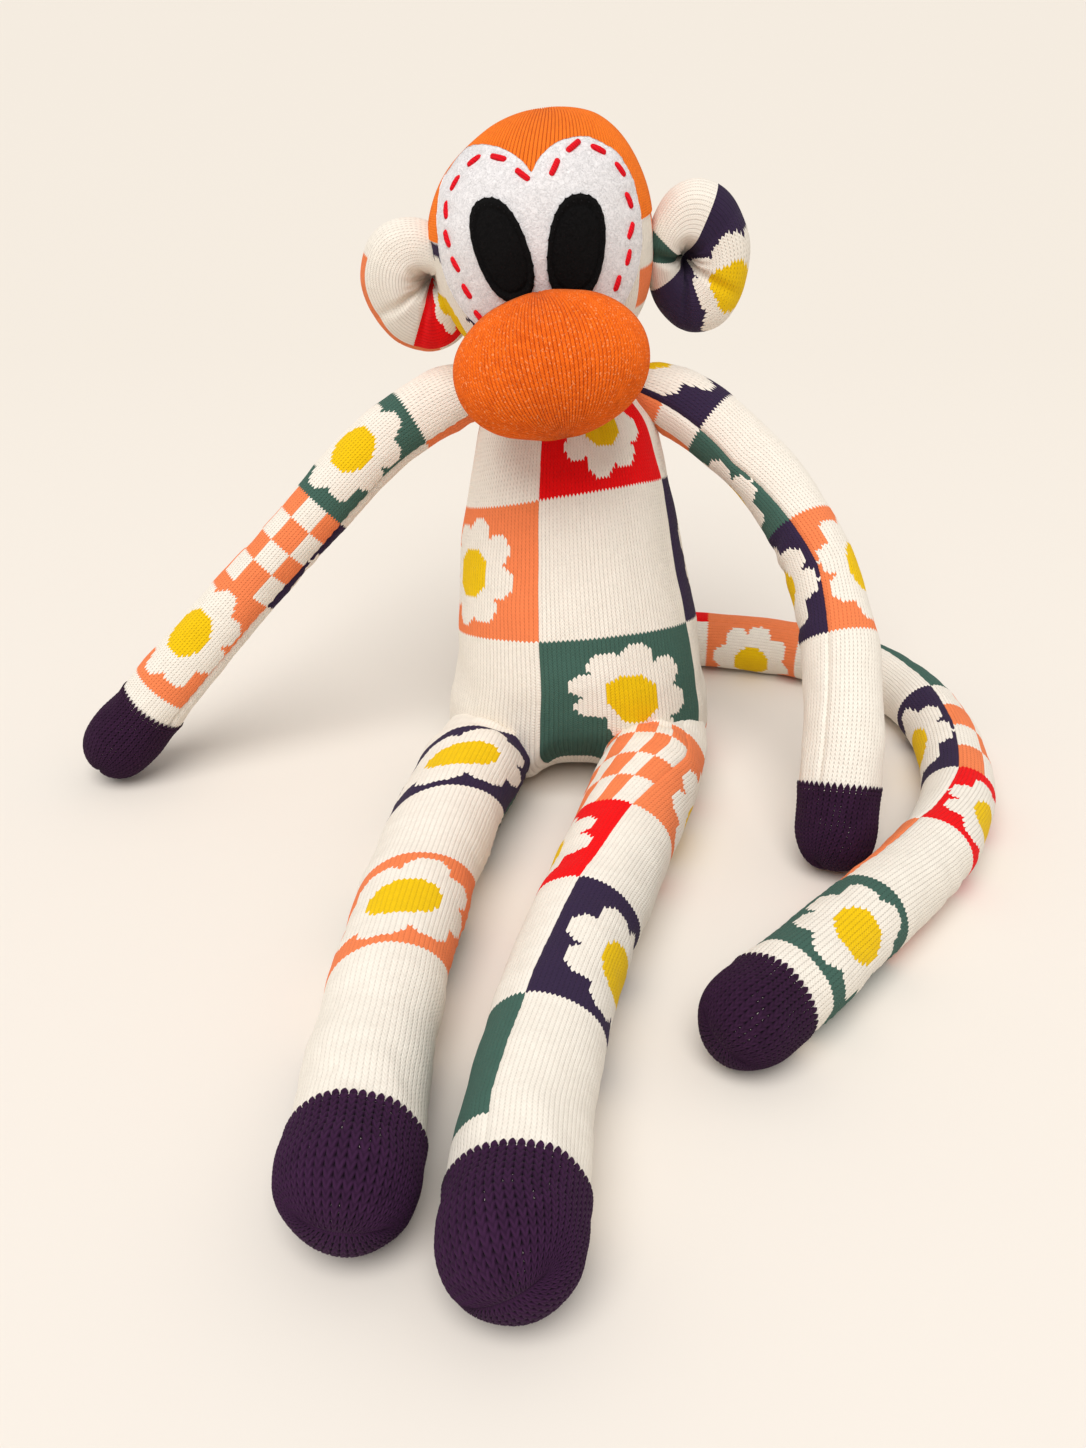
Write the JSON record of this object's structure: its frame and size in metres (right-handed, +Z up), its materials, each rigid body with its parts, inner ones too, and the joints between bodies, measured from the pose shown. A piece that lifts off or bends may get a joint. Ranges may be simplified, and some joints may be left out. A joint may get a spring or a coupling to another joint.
{
  "type": "sock monkey doll",
  "caption": "Seated stuffed doll sewn from patterned knee socks, with tube arms and legs, a long curled tail, round ears, a muzzle and felt eyes; it bends at its soft folds.",
  "frame": {"origin": "middle of the flat seat that the doll sits on, on the floor", "axes": "+Z up, the doll faces -Y, its left side is at +X"},
  "size_m": [0.3449, 0.3597, 0.2336],
  "materials": {
    "patterned_yarn": "knitted sock, cream with colour blocks",
    "orange_yarn": "fine rib knit, orange",
    "purple_yarn": "coarser knit, dark purple",
    "white_felt": "white felt, 1.2 mm",
    "black_felt": "black felt, 1.2 mm"
  },
  "bodies": {
    "torso": {"torso": "patterned_yarn"},
    "neck": {"neck": "patterned_yarn", "neck_fold": "patterned_yarn"},
    "head": {"head": "patterned_yarn", "crown": "orange_yarn", "muzzle": "orange_yarn", "face_mask": "white_felt", "right_eye": "black_felt", "left_eye": "black_felt"},
    "right_ear": {"right_ear_root": "patterned_yarn", "right_ear": "patterned_yarn"},
    "left_ear": {"left_ear_root": "patterned_yarn", "left_ear": "patterned_yarn"},
    "right_upper_arm": {"right_shoulder_fold": "patterned_yarn", "right_upper_arm": "patterned_yarn"},
    "right_forearm": {"right_elbow_fold": "patterned_yarn", "right_forearm": "patterned_yarn", "right_hand": "purple_yarn"},
    "left_upper_arm": {"left_shoulder_fold": "patterned_yarn", "left_upper_arm": "patterned_yarn"},
    "left_forearm": {"left_elbow_fold": "patterned_yarn", "left_forearm": "patterned_yarn", "left_hand": "purple_yarn"},
    "right_thigh": {"right_hip_fold": "patterned_yarn", "right_thigh": "patterned_yarn"},
    "right_shin": {"right_knee_fold": "patterned_yarn", "right_shin": "patterned_yarn", "right_foot": "purple_yarn"},
    "left_thigh": {"left_hip_fold": "patterned_yarn", "left_thigh": "patterned_yarn"},
    "left_shin": {"left_knee_fold": "patterned_yarn", "left_shin": "patterned_yarn", "left_foot": "purple_yarn"},
    "tail_base": {"tail_root_fold": "patterned_yarn", "tail_base": "patterned_yarn"},
    "tail_bow": {"tail_base_fold": "patterned_yarn", "tail_bow": "patterned_yarn"},
    "tail_run": {"tail_bow_fold": "patterned_yarn", "tail_run": "patterned_yarn"},
    "tail_end": {"tail_run_fold": "patterned_yarn", "tail_end": "patterned_yarn", "tail_tip": "purple_yarn"}
  },
  "joints": [
    {"name": "neck_turn", "type": "hinge", "parent": "torso", "child": "neck", "pos_m": [-0.005, 0.032, 0.1415], "axis": [0, 0, 1], "range_deg": [-30, 30]},
    {"name": "head_nod", "type": "hinge", "parent": "neck", "child": "head", "pos_m": [-0.0075, 0.032, 0.1468], "axis": [-1, 0, 0], "range_deg": [-15, 12], "deforming": ["neck_fold"]},
    {"name": "right_ear_flap", "type": "hinge", "parent": "head", "child": "right_ear", "pos_m": [-0.05123, 0.033, 0.17497], "axis": [0.1132, 0, -0.9936], "range_deg": [-15, 15], "deforming": ["right_ear_root"]},
    {"name": "left_ear_flap", "type": "hinge", "parent": "head", "child": "left_ear", "pos_m": [0.02452, 0.033, 0.18209], "axis": [-0.1132, 0, 0.9936], "range_deg": [-15, 15], "deforming": ["left_ear_root"]},
    {"name": "right_shoulder_swing", "type": "hinge", "parent": "torso", "child": "right_upper_arm", "pos_m": [-0.04448, 0.02816, 0.13548], "axis": [-0.3734, 0.279, 0.8847], "range_deg": [-15, 50], "deforming": ["right_shoulder_fold"]},
    {"name": "right_elbow_bend", "type": "hinge", "parent": "right_upper_arm", "child": "right_forearm", "pos_m": [-0.10941, 0.00066, 0.0856], "axis": [-0.7142, 0, 0.6999], "range_deg": [-20, 55], "deforming": ["right_elbow_fold"]},
    {"name": "left_shoulder_swing", "type": "hinge", "parent": "torso", "child": "left_upper_arm", "pos_m": [0.02971, 0.0285, 0.13534], "axis": [-0.3826, -0.2778, -0.8812], "range_deg": [-15, 40], "deforming": ["left_shoulder_fold"]},
    {"name": "left_elbow_bend", "type": "hinge", "parent": "left_upper_arm", "child": "left_forearm", "pos_m": [0.08339, -0.01966, 0.09031], "axis": [0.9002, 0, 0.4355], "range_deg": [-55, 20], "deforming": ["left_elbow_fold"]},
    {"name": "right_hip_swing", "type": "hinge", "parent": "torso", "child": "right_thigh", "pos_m": [-0.03, -0.012, 0.01927], "axis": [1, 0, 0], "range_deg": [-10, 80], "deforming": ["right_hip_fold"]},
    {"name": "right_knee_bend", "type": "hinge", "parent": "right_thigh", "child": "right_shin", "pos_m": [-0.05485, -0.12626, 0.01777], "axis": [0.9907, -0.136, 0], "range_deg": [-20, 60], "deforming": ["right_knee_fold"]},
    {"name": "left_hip_swing", "type": "hinge", "parent": "torso", "child": "left_thigh", "pos_m": [0.03, -0.012, 0.01927], "axis": [1, 0, 0], "range_deg": [-10, 80], "deforming": ["left_hip_fold"]},
    {"name": "left_knee_bend", "type": "hinge", "parent": "left_thigh", "child": "left_shin", "pos_m": [0.00057, -0.13545, 0.01777], "axis": [0.9586, -0.2848, 0], "range_deg": [-20, 60], "deforming": ["left_knee_fold"]},
    {"name": "tail_root_swing", "type": "hinge", "parent": "torso", "child": "tail_base", "pos_m": [0.01562, 0.04787, 0.01201], "axis": [0, 0, 1], "range_deg": [0, 30], "deforming": ["tail_root_fold"]},
    {"name": "tail_base_bend", "type": "hinge", "parent": "tail_base", "child": "tail_bow", "pos_m": [0.09656, 0.05988, 0.01237], "axis": [0, 0, 1], "range_deg": [0, 35], "deforming": ["tail_base_fold"]},
    {"name": "tail_bow_bend", "type": "hinge", "parent": "tail_bow", "child": "tail_run", "pos_m": [0.142, -0.01737, 0.01267], "axis": [0, 0, 1], "range_deg": [0, 35], "deforming": ["tail_bow_fold"]},
    {"name": "tail_run_bend", "type": "hinge", "parent": "tail_run", "child": "tail_end", "pos_m": [0.1107, -0.1056, 0.01396], "axis": [0, 0, 1], "range_deg": [0, 35], "deforming": ["tail_run_fold"]}
  ]
}
